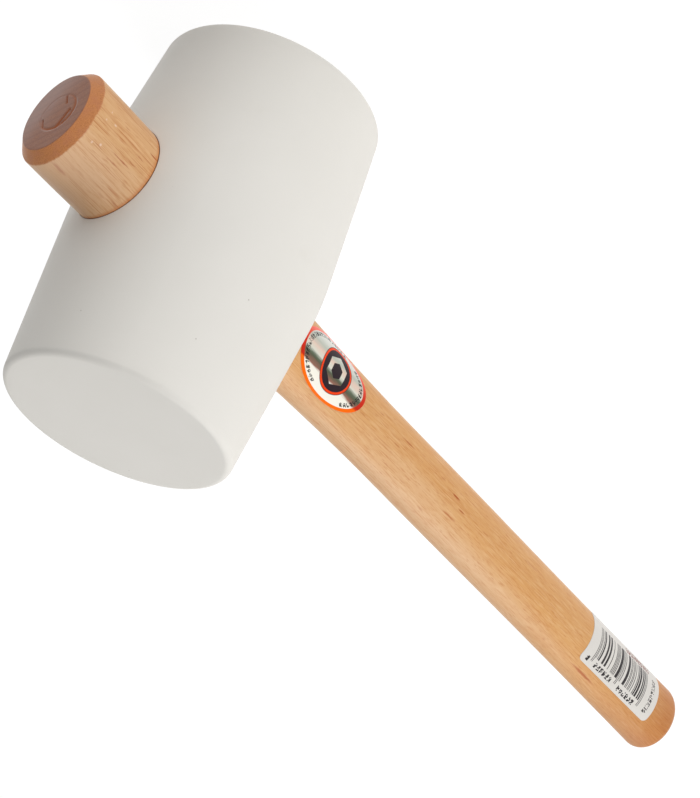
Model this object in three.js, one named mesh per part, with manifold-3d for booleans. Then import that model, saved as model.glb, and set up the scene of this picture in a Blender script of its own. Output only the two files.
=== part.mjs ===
// Rubber mallet: a moulded barrel head of solid rubber on a one-piece turned beech handle.
//
// Millimetres, +Z up. The mallet stands on its lower striking face, and the origin is the
// centre of that face. The head's axis is +Z. The handle lies along X and passes right
// through the middle of the head: its thick top end points to +X and its grip to -X.
// The handle's oval section is longest along Z. The labelled side of the handle faces -Y.
import * as THREE from "three";
import { mergeVertices } from "three/addons/utils/BufferGeometryUtils.js";
import Module from "manifold-3d";

const wasm = await Module();
wasm.setup();

// Head
const HEAD_LENGTH = 136.5;
const HEAD_WAIST_RADIUS = 45;
const HEAD_END_RADIUS = 40;
const FACE_CORNER_RADIUS = 2.5;
const WAIST_BLEND_HALF_LENGTH = 9;
const HEAD_SIDES = 72;

// Handle, measured along X from the head's axis
const TOP_END = 74.5;
const BUTT_END = -328.5;
const TOP_HALF_HEIGHT = 18.6;
const TOP_CHAMFER_LENGTH = 3.5;
const TOP_CHAMFER_DEPTH = 3.5;
const BUTT_HALF_HEIGHT = 14.7;
const BUTT_CORNER_RADIUS = 4.5;
const OVAL_RATIO = 0.85;
const HANDLE_SIDES = 56;
const EYE_GAP = 0.3;

// Marks that the lathe's driving centre leaves in the top end: a ring, a little off the
// middle, and three straight spur cuts inside it, each leaning from the handle's height
const DRIVE_MARK_DEPTH = 0.6;
const DRIVE_RING = { across: -0.8, radius: 7, width: 1.2 };
const DRIVE_SPURS = [
  { across: -2, up: -4.9, length: 3.7, width: 0.7, leanDegrees: 30 },
  { across: 3.8, up: 4.3, length: 3.7, width: 0.7, leanDegrees: 30 },
  { across: -4.7, up: 3.1, length: 8, width: 1.2, leanDegrees: -20 },
];

// Labels
const LABEL_GAP = 0.3;
const LABEL_THICKNESS = 0.2;
const ROUND_LABEL = { centre: -67.3, length: 39.8, width: 24, turn: 0, slantDegrees: 3 };
const BARCODE_LABEL = { centre: -282.6, length: 55.4, width: 25, turn: 1.6, corner: 2.5 };

const HEAD_MIDDLE = HEAD_LENGTH / 2;

const rubber = new THREE.MeshStandardMaterial({ color: 0xdedbd4, roughness: 0.6, metalness: 0 });
const beech = new THREE.MeshStandardMaterial({ color: 0xd8a86c, roughness: 0.35, metalness: 0 });
const foil = new THREE.MeshStandardMaterial({ color: 0xd9662a, roughness: 0.3, metalness: 0.4 });
const paper = new THREE.MeshStandardMaterial({ color: 0xe4e1da, roughness: 0.45, metalness: 0 });

// A closed body for joining and cutting, made from a geometry's positions alone.
function toSolid(geometry) {
  const bare = geometry.clone();
  bare.deleteAttribute("normal");
  bare.deleteAttribute("uv");
  const merged = mergeVertices(bare, 1e-4);
  const vertProperties = Float32Array.from(merged.attributes.position.array);
  const triVerts = Uint32Array.from(merged.index.array);
  return new wasm.Manifold(new wasm.Mesh({ numProp: 3, vertProperties, triVerts }));
}

function toGeometry(solid) {
  const mesh = solid.getMesh();
  const geometry = new THREE.BufferGeometry();
  geometry.setAttribute("position", new THREE.BufferAttribute(mesh.vertProperties, 3));
  geometry.setIndex(new THREE.BufferAttribute(mesh.triVerts, 1));
  geometry.computeVertexNormals();
  return geometry;
}

// Turns a profile of (radius, distance along the axis) points about X.
function turnAboutX(profile, sides) {
  const geometry = new THREE.LatheGeometry(profile, sides);
  geometry.rotateZ(-Math.PI / 2);
  return geometry;
}

// Turns a profile of (radius, height) points about Z.
function turnAboutZ(profile, sides) {
  const geometry = new THREE.LatheGeometry(profile, sides);
  geometry.rotateX(Math.PI / 2);
  return geometry;
}

// Points of a quarter-round corner, from one direction to another, in degrees.
function cornerArc(centreRadius, centreAlong, radius, fromDegrees, toDegrees, steps) {
  const points = [];
  for (let step = 0; step <= steps; step += 1) {
    const degrees = THREE.MathUtils.lerp(fromDegrees, toDegrees, step / steps);
    const angle = THREE.MathUtils.degToRad(degrees);
    const outward = new THREE.Vector2(Math.cos(angle), Math.sin(angle)).multiplyScalar(radius);
    points.push(new THREE.Vector2(centreRadius, centreAlong).add(outward));
  }
  return points;
}

// Half height (along Z) of the handle's oval section at a distance along X. The grip swells
// gently to the butt, narrows towards the head, then flares through the head to the top.
const handleLine = new THREE.CatmullRomCurve3([
  new THREE.Vector3(BUTT_END, BUTT_HALF_HEIGHT, 0),
  new THREE.Vector3(-245, 13.9, 0),
  new THREE.Vector3(-160, 13.6, 0),
  new THREE.Vector3(-97, 13.3, 0),
  new THREE.Vector3(-43, 14.7, 0),
  new THREE.Vector3(43, 18.4, 0),
  new THREE.Vector3(TOP_END, TOP_HALF_HEIGHT, 0),
]);
const handleLinePoints = handleLine.getPoints(240);

function halfHeightAt(along) {
  const next = handleLinePoints.findIndex((point) => point.x > along);
  if (next < 1) {
    return next === 0 ? BUTT_HALF_HEIGHT : TOP_HALF_HEIGHT;
  }
  const before = handleLinePoints[next - 1];
  const after = handleLinePoints[next];
  const share = (along - before.x) / (after.x - before.x);
  return THREE.MathUtils.lerp(before.y, after.y, share);
}

function handleProfile() {
  const profile = [new THREE.Vector2(0, BUTT_END)];
  const buttCentre = BUTT_HALF_HEIGHT - BUTT_CORNER_RADIUS;
  const buttAlong = BUTT_END + BUTT_CORNER_RADIUS;
  profile.push(...cornerArc(buttCentre, buttAlong, BUTT_CORNER_RADIUS, -90, 0, 5));
  const stations = 22;
  const gripStart = buttAlong;
  const gripEnd = TOP_END - TOP_CHAMFER_LENGTH;
  for (let station = 1; station < stations; station += 1) {
    const along = THREE.MathUtils.lerp(gripStart, gripEnd, station / stations);
    profile.push(new THREE.Vector2(halfHeightAt(along), along));
  }
  profile.push(new THREE.Vector2(TOP_HALF_HEIGHT, gripEnd));
  profile.push(new THREE.Vector2(TOP_HALF_HEIGHT - TOP_CHAMFER_DEPTH, TOP_END));
  profile.push(new THREE.Vector2(0, TOP_END));
  return profile;
}

// The cuts that sink the driving centre's ring and spurs into the flat top end.
function driveMarks() {
  const floor = TOP_END - DRIVE_MARK_DEPTH;
  const above = TOP_END + 1;
  const inner = DRIVE_RING.radius - DRIVE_RING.width / 2;
  const outer = DRIVE_RING.radius + DRIVE_RING.width / 2;
  const ring = turnAboutX([
    new THREE.Vector2(inner, floor),
    new THREE.Vector2(outer, floor),
    new THREE.Vector2(outer, above),
    new THREE.Vector2(inner, above),
    new THREE.Vector2(inner, floor),
  ], 32);
  ring.translate(0, DRIVE_RING.across, 0);
  let marks = toSolid(ring);
  for (const { across, up, length, width, leanDegrees } of DRIVE_SPURS) {
    const spur = new THREE.BoxGeometry(above - floor, width, length);
    spur.rotateX(THREE.MathUtils.degToRad(leanDegrees));
    spur.translate((above + floor) / 2, across, up);
    marks = marks.add(toSolid(spur));
  }
  return marks;
}

function makeHandle() {
  const turned = turnAboutX(handleProfile(), HANDLE_SIDES);
  turned.scale(1, OVAL_RATIO, 1);
  return toGeometry(toSolid(turned).subtract(driveMarks()));
}

// One half of the barrel's outline, from the waist up to a striking face. The wall leaves
// the waist on a soft crest, then tapers straight to the rounded corner of the face.
function barrelHalf() {
  const straightStart = WAIST_BLEND_HALF_LENGTH / 2;
  const slope = (HEAD_WAIST_RADIUS - HEAD_END_RADIUS) / (HEAD_MIDDLE - straightStart);
  const wallRadius = (height) => HEAD_WAIST_RADIUS - slope * (height - straightStart);
  const taper = Math.atan(slope);
  const outline = [];
  const blendSteps = 3;
  for (let step = 0; step <= blendSteps; step += 1) {
    const height = WAIST_BLEND_HALF_LENGTH * step / blendSteps;
    const drop = slope * height ** 2 / (2 * WAIST_BLEND_HALF_LENGTH);
    outline.push(new THREE.Vector2(HEAD_WAIST_RADIUS - drop, height));
  }
  const cornerHeight = HEAD_MIDDLE - FACE_CORNER_RADIUS;
  const cornerRadius = wallRadius(cornerHeight) - FACE_CORNER_RADIUS / Math.cos(taper);
  const taperDegrees = THREE.MathUtils.radToDeg(taper);
  outline.push(
    ...cornerArc(cornerRadius, cornerHeight, FACE_CORNER_RADIUS, taperDegrees, 90, 5),
  );
  outline.push(new THREE.Vector2(0, HEAD_MIDDLE));
  return outline;
}

// The head's eye: the same tapered oval as the handle, a little larger all round.
function headEye() {
  const reach = HEAD_WAIST_RADIUS + 6;
  const profile = [new THREE.Vector2(0, -reach)];
  const stations = 8;
  for (let station = 0; station <= stations; station += 1) {
    const along = THREE.MathUtils.lerp(-reach, reach, station / stations);
    profile.push(new THREE.Vector2(halfHeightAt(along), along));
  }
  profile.push(new THREE.Vector2(0, reach));
  const eye = turnAboutX(profile, HANDLE_SIDES);
  const height = TOP_HALF_HEIGHT * 2;
  const width = height * OVAL_RATIO;
  const grow = 2 * EYE_GAP;
  eye.scale(1, OVAL_RATIO * (1 + grow / width), 1 + grow / height);
  return toSolid(eye);
}

function makeHead() {
  const upper = barrelHalf();
  const lower = upper.slice(1).reverse().map((point) => new THREE.Vector2(point.x, -point.y));
  const barrel = turnAboutZ([...lower, ...upper], HEAD_SIDES);
  return toGeometry(toSolid(barrel).subtract(headEye()));
}

// A point on the handle's -Y side. The distance around it is measured from the middle of
// that side, positive downwards, and lift is the height above the wood.
function handleSurfacePoint(along, around, lift) {
  const tall = halfHeightAt(along);
  const wide = tall * OVAL_RATIO;
  const angle = around / tall;
  const point = new THREE.Vector3(along, -wide * Math.cos(angle), -tall * Math.sin(angle));
  const outward = new THREE.Vector3(0, -Math.cos(angle) / wide, -Math.sin(angle) / tall);
  return point.add(outward.normalize().multiplyScalar(lift));
}

// A thin skin wrapped on the handle: an outline drawn flat, filled by rings that shrink to
// its middle, once for the underside and once for the top, and closed round the edge.
function wrapLabel(outline, centre, turn) {
  const rings = 6;
  const sides = outline.length;
  const positions = [];
  const index = [];
  for (const lift of [LABEL_GAP, LABEL_GAP + LABEL_THICKNESS]) {
    positions.push(...handleSurfacePoint(centre, turn, lift).toArray());
    for (let ring = 1; ring <= rings; ring += 1) {
      for (const corner of outline) {
        const along = centre + corner.x * ring / rings;
        const around = turn + corner.y * ring / rings;
        positions.push(...handleSurfacePoint(along, around, lift).toArray());
      }
    }
  }
  const layerSize = 1 + rings * sides;
  const place = (layer, ring, side) => {
    return layer * layerSize + (ring === 0 ? 0 : 1 + (ring - 1) * sides + side % sides);
  };
  const triangle = (layer, first, second, third) => {
    index.push(...(layer === 0 ? [first, second, third] : [third, second, first]));
  };
  for (let layer = 0; layer < 2; layer += 1) {
    for (let side = 0; side < sides; side += 1) {
      triangle(layer, place(layer, 0, 0), place(layer, 1, side), place(layer, 1, side + 1));
      for (let ring = 1; ring < rings; ring += 1) {
        const near = place(layer, ring, side);
        const nearNext = place(layer, ring, side + 1);
        const far = place(layer, ring + 1, side);
        const farNext = place(layer, ring + 1, side + 1);
        triangle(layer, near, far, farNext);
        triangle(layer, near, farNext, nearNext);
      }
    }
  }
  for (let side = 0; side < sides; side += 1) {
    const under = place(0, rings, side);
    const underNext = place(0, rings, side + 1);
    const top = place(1, rings, side);
    const topNext = place(1, rings, side + 1);
    index.push(topNext, underNext, under, top, topNext, under);
  }
  const geometry = new THREE.BufferGeometry();
  geometry.setAttribute("position", new THREE.Float32BufferAttribute(positions, 3));
  geometry.setIndex(index);
  geometry.computeVertexNormals();
  return geometry;
}

function makeRoundLabel() {
  const { centre, length, width, turn, slantDegrees } = ROUND_LABEL;
  const slant = THREE.MathUtils.degToRad(slantDegrees);
  const fullTurn = Math.PI * 2;
  const ellipse = new THREE.EllipseCurve(0, 0, length / 2, width / 2, 0, fullTurn, false, slant);
  return wrapLabel(ellipse.getPoints(36).slice(0, -1), centre, turn);
}

function makeBarcodeLabel() {
  const { centre, length, width, turn, corner } = BARCODE_LABEL;
  const edge = length / 2 - corner;
  const side = width / 2 - corner;
  const shape = new THREE.Shape();
  shape.absarc(edge, side, corner, 0, Math.PI / 2);
  shape.absarc(-edge, side, corner, Math.PI / 2, Math.PI);
  shape.absarc(-edge, -side, corner, Math.PI, Math.PI * 1.5);
  shape.absarc(edge, -side, corner, Math.PI * 1.5, Math.PI * 2);
  shape.closePath();
  return wrapLabel(shape.getSpacedPoints(44).slice(0, -1), centre, turn);
}

function namedMesh(name, geometry, material) {
  const mesh = new THREE.Mesh(geometry, material);
  mesh.name = name;
  return mesh;
}

const mallet = new THREE.Group();
mallet.add(
  namedMesh("rubber_head", makeHead(), rubber),
  namedMesh("handle", makeHandle(), beech),
  namedMesh("round_label", makeRoundLabel(), foil),
  namedMesh("barcode_label", makeBarcodeLabel(), paper),
);
for (const piece of mallet.children) {
  piece.position.z = HEAD_MIDDLE;
}

export default mallet;
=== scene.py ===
import math
from bisect import bisect_right
from functools import reduce

import bpy
from mathutils import Color, Matrix, Vector, noise


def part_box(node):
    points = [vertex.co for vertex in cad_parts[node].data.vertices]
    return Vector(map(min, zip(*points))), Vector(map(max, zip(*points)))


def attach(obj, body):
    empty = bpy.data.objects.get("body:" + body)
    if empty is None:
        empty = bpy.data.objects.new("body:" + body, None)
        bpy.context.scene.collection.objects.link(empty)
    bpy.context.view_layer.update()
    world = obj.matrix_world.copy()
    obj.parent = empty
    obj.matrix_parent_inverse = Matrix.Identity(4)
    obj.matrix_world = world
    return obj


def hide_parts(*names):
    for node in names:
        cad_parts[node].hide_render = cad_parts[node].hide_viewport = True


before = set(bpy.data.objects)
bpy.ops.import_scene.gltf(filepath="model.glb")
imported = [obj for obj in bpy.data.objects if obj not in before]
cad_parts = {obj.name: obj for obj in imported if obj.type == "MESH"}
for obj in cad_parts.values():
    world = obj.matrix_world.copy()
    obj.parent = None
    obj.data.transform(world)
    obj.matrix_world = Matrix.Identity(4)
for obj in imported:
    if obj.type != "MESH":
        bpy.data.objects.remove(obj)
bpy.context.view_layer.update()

MM = 0.001
BODY = "root"

# ---------- sizes
head_low, head_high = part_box("rubber_head")
handle_low, handle_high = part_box("handle")

# The barrel: two straight tapers that meet in a short curve at the waist
HEAD_MIDDLE = (head_low.z + head_high.z) / 2
MIDDLE = Vector((0, 0, HEAD_MIDDLE))
HALF_LENGTH = (head_high.z - head_low.z) / 2
WAIST_RADIUS = (head_high.y - head_low.y) / 2
END_RADIUS = 40 * MM
FACE_CORNER = 2.5 * MM
WAIST_BLEND = 9 * MM
WALL_SLOPE = (WAIST_RADIUS - END_RADIUS) / (HALF_LENGTH - WAIST_BLEND / 2)
HEAD_COLUMNS = 192
WALL_ROWS = 20
FACE_CORNER_STEPS = 10
FACE_RINGS = 20

# The eye, and the window of the barrel's grid that gives way to it on each side
EYE_HALF_COLUMNS = 15
EYE_HALF_ROWS = 15
WINDOW_HALF_HEIGHT = 25.5 * MM
EYE_CLEARANCE = 0.1 * MM
EYE_LIP = 0.25 * MM
EYE_SEARCH_ROUNDS = 6
COLLAR_RINGS = 9
COLLAR_CROWDING = 1.3
LIP_STEPS = 5
LINING_RINGS = 12

# The handle
BUTT_END = handle_low.x
TOP_END = handle_high.x
OVAL_RATIO = (handle_high.y - handle_low.y) / (handle_high.z - handle_low.z)
BUTT_CORNER = 4.5 * MM
TOP_CHAMFER = 3.5 * MM
SHAFT_START = BUTT_END + BUTT_CORNER
CHAMFER_START = TOP_END - TOP_CHAMFER
EDGE_SOFTNESS = 0.35 * MM
HANDLE_SIDES = 160
BUTT_FACE_RINGS = 8
BUTT_CORNER_STEPS = 12
SHAFT_RINGS = 220
CHAMFER_RINGS = 6
TOP_FACE_RINGS = 46

# The mark of the lathe's driving centre: a ring, pressed in at a slant, and three spurs
DRIVE_MARK_DEPTH = 0.6 * MM
DRIVE_RING_RADIUS = 7 * MM
DRIVE_RING_ACROSS = -0.8 * MM
DRIVE_RING_HALF_WIDTH = 0.6 * MM
DRIVE_SLANT = 0.75
# Each spur's place across and up, its half length and half width, and its lean in degrees
DRIVE_SPURS = (
    (-2 * MM, -4.9 * MM, 1.85 * MM, 0.45 * MM, 30),
    (3.8 * MM, 4.3 * MM, 1.85 * MM, 0.45 * MM, 30),
    (-4.7 * MM, 3.1 * MM, 3.6 * MM, 0.85 * MM, -20),
)

# The stickers. A centre is a place along X, and a turn is a distance round the handle
LABEL_LIFT = 0.03 * MM
LABEL_THICKNESS = 0.1 * MM
LABEL_TRIM = 0.1 * MM
LABEL_RIPPLE = 0.02 * MM
LABEL_RIPPLE_SCALE = 90
LABEL_RINGS = 26
PRINT_SPAN = 60 * MM
FOIL_CENTRE = -67.3 * MM
FOIL_HALF_LENGTH = 19.9 * MM
FOIL_HALF_WIDTH = 12 * MM
FOIL_SLANT = math.radians(3)
FOIL_SIDES = 144
BARCODE_CENTRE = -282.6 * MM
BARCODE_TURN = 1.6 * MM
BARCODE_HALF_LENGTH = 27.7 * MM
BARCODE_HALF_WIDTH = 12.5 * MM
BARCODE_CORNER = 2.5 * MM
BARCODE_STEP = 1.2 * MM


# ---------- mesh helpers
class Skin:
    """The vertices and faces of a closed mesh that is built up from rings."""

    def __init__(self):
        self.vertices = []
        self.faces = []

    def add_ring(self, points):
        """Adds points, and gives back the numbers of their vertices."""
        start = len(self.vertices)
        self.vertices.extend(points)
        return list(range(start, len(self.vertices)))

    def join(self, rings, flip=False):
        """Bands of quads from each ring of vertex numbers to the next."""
        for outer, inner in zip(rings, rings[1:]):
            for i in range(len(outer)):
                j = (i + 1) % len(outer)
                quad = (outer[i], outer[j], inner[j], inner[i])
                self.faces.append(quad[::-1] if flip else quad)

    def fan(self, ring, middle, flip=False):
        """Triangles from a ring of vertex numbers to the one in its middle."""
        for i in range(len(ring)):
            edge = (ring[i], ring[(i + 1) % len(ring)])
            self.faces.append((*(edge[::-1] if flip else edge), middle))


def loft(rings):
    """A skin through rings of points, the first and last of which have one point each. The
    rings turn anticlockwise seen from the last one."""
    skin = Skin()
    rings = [skin.add_ring(points) for points in rings]
    skin.fan(rings[1], rings[0][0], True)
    skin.join(rings[1:-1])
    skin.fan(rings[-2], rings[-1][0])
    return skin


def add_object(name, data):
    """A new object in the scene."""
    made = bpy.data.objects.new(name, data)
    bpy.context.scene.collection.objects.link(made)
    return made


def make_piece(name, skin, replaced, material):
    """A smooth-shaded mesh that rides on the mallet and stands for a CAD node."""
    mesh = bpy.data.meshes.new(name)
    mesh.from_pydata([tuple(point) for point in skin.vertices], [], skin.faces)
    mesh.polygons.foreach_set("use_smooth", [True] * len(mesh.polygons))
    mesh.materials.append(material)
    mesh.validate()
    mesh.update()
    piece = add_object(name, mesh)
    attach(piece, BODY)
    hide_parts(replaced)
    return piece


def between(start, end, share):
    return start + (end - start) * share


def turns(count):
    """Angles evenly round a full turn, in radians."""
    return [2 * math.pi * k / count for k in range(count)]


def smooth_step(low, high, value):
    t = min(max((value - low) / (high - low), 0), 1)
    return t * t * (3 - 2 * t)


def corner_curve(start, corner, end, share):
    """A point on the curve that rounds a corner, from one of its sides to the other."""
    return start * (1 - share) ** 2 + corner * 2 * share * (1 - share) + end * share ** 2


def soft_corner(before, corner, after, softness, steps=4):
    """A corner of an outline, rounded by a short curve that touches both of its sides."""
    before, corner, after = Vector(before), Vector(corner), Vector(after)
    start = corner + (before - corner).normalized() * softness
    end = corner + (after - corner).normalized() * softness
    return [tuple(corner_curve(start, corner, end, k / steps)) for k in range(steps + 1)]


def arc_points(centre, radius, start, end, steps):
    """Points of an arc as pairs, with both of its ends. Angles in radians."""
    points = []
    for k in range(steps + 1):
        angle = between(start, end, k / steps)
        across = centre[0] + radius * math.cos(angle)
        points.append((across, centre[1] + radius * math.sin(angle)))
    return points


# ---------- handle shape
def cad_sections():
    """The CAD handle's sections between its rounded butt and its chamfer, as pairs of the
    distance along X and the half height."""
    tallest = {}
    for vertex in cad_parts["handle"].data.vertices:
        along = round(vertex.co.x, 5)
        if SHAFT_START - MM < along < CHAMFER_START + MM:
            height = abs(vertex.co.z - HEAD_MIDDLE)
            tallest[along] = max(tallest.get(along, 0), height)
    return sorted(tallest.items())


SECTIONS = cad_sections()
SECTION_PLACES = [along for along, height in SECTIONS]


def section_slope(number):
    """How fast the half height changes along X at a section."""
    before = SECTIONS[max(number - 1, 0)]
    after = SECTIONS[min(number + 1, len(SECTIONS) - 1)]
    return (after[1] - before[1]) / (after[0] - before[0])


def half_height(along):
    """Half height of the handle at a place along X, on a smooth curve through the sections."""
    k = min(max(bisect_right(SECTION_PLACES, along) - 1, 0), len(SECTIONS) - 2)
    x0, h0 = SECTIONS[k]
    x1, h1 = SECTIONS[k + 1]
    t = min(max((along - x0) / (x1 - x0), 0), 1)
    rise = h0 * (1 + 2 * t) * (1 - t) ** 2 + h1 * t * t * (3 - 2 * t)
    bend = section_slope(k) * t * (1 - t) ** 2 - section_slope(k + 1) * t * t * (1 - t)
    return rise + bend * (x1 - x0)


def handle_point(along, angle, tall=None, lift=0.0):
    """A point on the handle. The angle runs from the labelled -Y side down towards -Z."""
    tall = half_height(along) if tall is None else tall
    wide = tall * OVAL_RATIO
    point = Vector((along, -wide * math.cos(angle), -tall * math.sin(angle)))
    if lift:
        outward = Vector((0, -math.cos(angle) / wide, -math.sin(angle) / tall))
        point += outward.normalized() * lift
    return point + MIDDLE


# ---------- handle mesh
def groove(distance, half_width):
    """Depth, from 0 to 1, of a groove's rounded section at a distance from its middle."""
    return 1 - smooth_step(0.3, 1.0, abs(distance) / half_width)


def drive_mark_depth(y, z):
    """How deep the driving centre's ring and spurs sink into the top end at a point, with z
    measured from its middle. The ring is deeper and wider towards -Y and +Z."""
    from_ring = y - DRIVE_RING_ACROSS
    slant = smooth_step(-1, 1, (z * DRIVE_SLANT - from_ring) / DRIVE_RING_RADIUS)
    distance = math.hypot(from_ring, z) - DRIVE_RING_RADIUS
    width = DRIVE_RING_HALF_WIDTH * (0.8 + 0.5 * slant)
    deepest = groove(distance, width) * (0.25 + 0.4 * slant)
    for across, up, half_length, half_width, lean in DRIVE_SPURS:
        side, rise = y - across, z - up
        cosine, sine = math.cos(math.radians(lean)), math.sin(math.radians(lean))
        beyond = max(abs(rise * cosine - side * sine) - half_length, 0)
        sideways = side * cosine + rise * sine
        deepest = max(deepest, groove(math.hypot(sideways, beyond), half_width))
    return DRIVE_MARK_DEPTH * deepest


def handle_outline():
    """The handle's outline from the middle of its butt to the rim of its flat top end, as
    pairs of half height and distance along X."""
    butt_flat = half_height(SHAFT_START) - BUTT_CORNER
    outline = []
    for k in range(1, BUTT_FACE_RINGS + 1):
        outline.append((butt_flat * k / BUTT_FACE_RINGS, BUTT_END))
    corner_centre = (butt_flat, SHAFT_START)
    outline += arc_points(corner_centre, BUTT_CORNER, -math.pi / 2, 0, BUTT_CORNER_STEPS)[1:]
    for k in range(1, SHAFT_RINGS):
        along = between(SHAFT_START, CHAMFER_START, k / SHAFT_RINGS)
        if along < CHAMFER_START - 2 * EDGE_SOFTNESS:
            outline.append((half_height(along), along))
    shoulder_height = half_height(CHAMFER_START)
    rim_height = shoulder_height - TOP_CHAMFER
    shoulder = (shoulder_height, CHAMFER_START)
    rim = (rim_height, TOP_END)
    outline += soft_corner((shoulder_height, BUTT_END), shoulder, rim, EDGE_SOFTNESS)
    for k in range(1, CHAMFER_RINGS):
        height = between(shoulder_height, rim_height, k / CHAMFER_RINGS)
        outline.append((height, between(CHAMFER_START, TOP_END, k / CHAMFER_RINGS)))
    outline += soft_corner(shoulder, rim, (0, TOP_END), EDGE_SOFTNESS)
    return outline


def handle_ring(along, tall):
    """A ring of points round the handle, of a given half height."""
    return [handle_point(along, angle, tall) for angle in turns(HANDLE_SIDES)]


def make_handle(material):
    """Rings along the outline, then rings that close in across the top end and sink where
    the driving mark is."""
    outline = handle_outline()
    rings = [[Vector((BUTT_END, 0, HEAD_MIDDLE))]]
    rings += [handle_ring(along, tall) for tall, along in outline]
    rim_height = outline[-1][0]
    for k in range(1, TOP_FACE_RINGS):
        ring = handle_ring(TOP_END, rim_height * (1 - k / TOP_FACE_RINGS))
        for point in ring:
            point.x -= drive_mark_depth(point.y, point.z - HEAD_MIDDLE)
        rings.append(ring)
    rings.append([Vector((TOP_END - drive_mark_depth(0, 0), 0, HEAD_MIDDLE))])
    return make_piece("beech_handle", loft(rings), "handle", material)


# ---------- head mesh
def wall_radius(height):
    """The barrel's radius at a height above or below its waist."""
    height = abs(height)
    if height < WAIST_BLEND:
        return WAIST_RADIUS - WALL_SLOPE * height ** 2 / (2 * WAIST_BLEND)
    return WAIST_RADIUS - WALL_SLOPE * (height - WAIST_BLEND / 2)


def barrel_half():
    """Radius and height pairs from the waist to the middle of a face, without the waist and
    without the middle of the face."""
    taper = math.atan(WALL_SLOPE)
    corner_height = HALF_LENGTH - FACE_CORNER
    corner_radius = wall_radius(corner_height) - FACE_CORNER / math.cos(taper)
    heights = [WINDOW_HALF_HEIGHT * k / EYE_HALF_ROWS for k in range(1, EYE_HALF_ROWS + 1)]
    wall_top = corner_height + FACE_CORNER * math.sin(taper)
    for k in range(1, WALL_ROWS + 1):
        heights.append(between(WINDOW_HALF_HEIGHT, wall_top, k / WALL_ROWS))
    outline = [(wall_radius(height), height) for height in heights]
    corner_centre = (corner_radius, corner_height)
    outline += arc_points(corner_centre, FACE_CORNER, taper, math.pi / 2, FACE_CORNER_STEPS)[1:]
    for k in range(1, FACE_RINGS):
        outline.append((corner_radius * (1 - k / FACE_RINGS), HALF_LENGTH))
    return outline


def barrel_point(radius, turn, height):
    """A point at a radius and a turn about the barrel's axis, and a height from its waist."""
    return Vector((radius * math.cos(turn), radius * math.sin(turn), HEAD_MIDDLE + height))


def eye_on_barrel(side, angle, gap):
    """Where the eye's wall, moved out by a gap, meets the barrel. Side is +1 or -1 along X."""
    along = side * WAIST_RADIUS
    for _ in range(EYE_SEARCH_ROUNDS):
        point = handle_point(along, angle, None, gap)
        radius = wall_radius(point.z - HEAD_MIDDLE)
        along = side * math.sqrt(radius ** 2 - point.y ** 2)
    point.x = along
    return point


def in_window(row, column):
    """Whether a quad of the barrel's grid gives way to the eye. Its row is counted from the
    waist, and its column from the middle of the eye's +X mouth."""
    if not -EYE_HALF_ROWS <= row < EYE_HALF_ROWS:
        return False
    offset = (column + EYE_HALF_COLUMNS) % (HEAD_COLUMNS // 2)
    return offset < 2 * EYE_HALF_COLUMNS


def window_edge():
    """The columns and rows, counted from the middle of a window, of the grid's vertices
    round its edge."""
    a, b = EYE_HALF_COLUMNS, EYE_HALF_ROWS
    bottom = [(column, -b) for column in range(-a, a)]
    right = [(a, row) for row in range(-b, b)]
    top = [(column, b) for column in range(a, -a, -1)]
    left = [(-a, row) for row in range(b, -b, -1)]
    return bottom + right + top + left


def add_barrel(skin, outline, waist_row):
    """The barrel's wall and faces, open at the two windows. Its rows are given back."""
    rows = []
    for radius, height in outline:
        points = [barrel_point(radius, turn, height) for turn in turns(HEAD_COLUMNS)]
        rows.append(skin.add_ring(points))
    for number, (low, high) in enumerate(zip(rows, rows[1:])):
        for i in range(HEAD_COLUMNS):
            j = (i + 1) % HEAD_COLUMNS
            if not in_window(number - waist_row, i):
                skin.faces.append((low[i], low[j], high[j], high[i]))
    for rim, side in ((rows[0], -1), (rows[-1], 1)):
        middle = skin.add_ring([barrel_point(0, 0, side * HALF_LENGTH)])[0]
        skin.fan(rim, middle, side == -1)
    return rows


def collar_point(side, start, end, share):
    """A point of the barrel's wall, part of the way from a window's edge to the eye."""
    start_turn = math.atan2(start.y, side * start.x)
    end_turn = math.atan2(end.y, side * end.x)
    height = between(start.z, end.z, share) - HEAD_MIDDLE
    point = barrel_point(wall_radius(height), between(start_turn, end_turn, share), height)
    point.x *= side
    return point


def add_mouth(skin, side, edge, angles):
    """Rings that close in from a window's edge, crowding towards the eye, and roll over its
    lip. The last ring is given back."""
    lip_outer = [eye_on_barrel(side, angle, EYE_CLEARANCE + EYE_LIP) for angle in angles]
    lip_corner = [eye_on_barrel(side, angle, EYE_CLEARANCE) for angle in angles]
    starts = [skin.vertices[k] for k in edge]
    rings = [edge]
    for k in range(1, COLLAR_RINGS + 1):
        share = 1 - (1 - k / COLLAR_RINGS) ** COLLAR_CROWDING
        pairs = zip(starts, lip_outer)
        rings.append(skin.add_ring([collar_point(side, *pair, share) for pair in pairs]))
    inward = Vector((side * EYE_LIP, 0, 0))
    for k in range(1, LIP_STEPS + 1):
        points = []
        for start, corner in zip(lip_outer, lip_corner):
            points.append(corner_curve(start, corner, corner - inward, k / LIP_STEPS))
        rings.append(skin.add_ring(points))
    skin.join(rings, side == -1)
    return rings[-1]


def add_lining(skin, front, back, angles):
    """The eye's wall, from the last ring of one mouth to the last ring of the other."""
    rings = [front]
    for k in range(1, LINING_RINGS):
        points = []
        for start, end, angle in zip(front, back, angles):
            places = skin.vertices[start].x, skin.vertices[end].x
            along = between(*places, k / LINING_RINGS)
            points.append(handle_point(along, angle, None, EYE_CLEARANCE))
        rings.append(skin.add_ring(points))
    rings.append(back)
    skin.join(rings)


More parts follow.
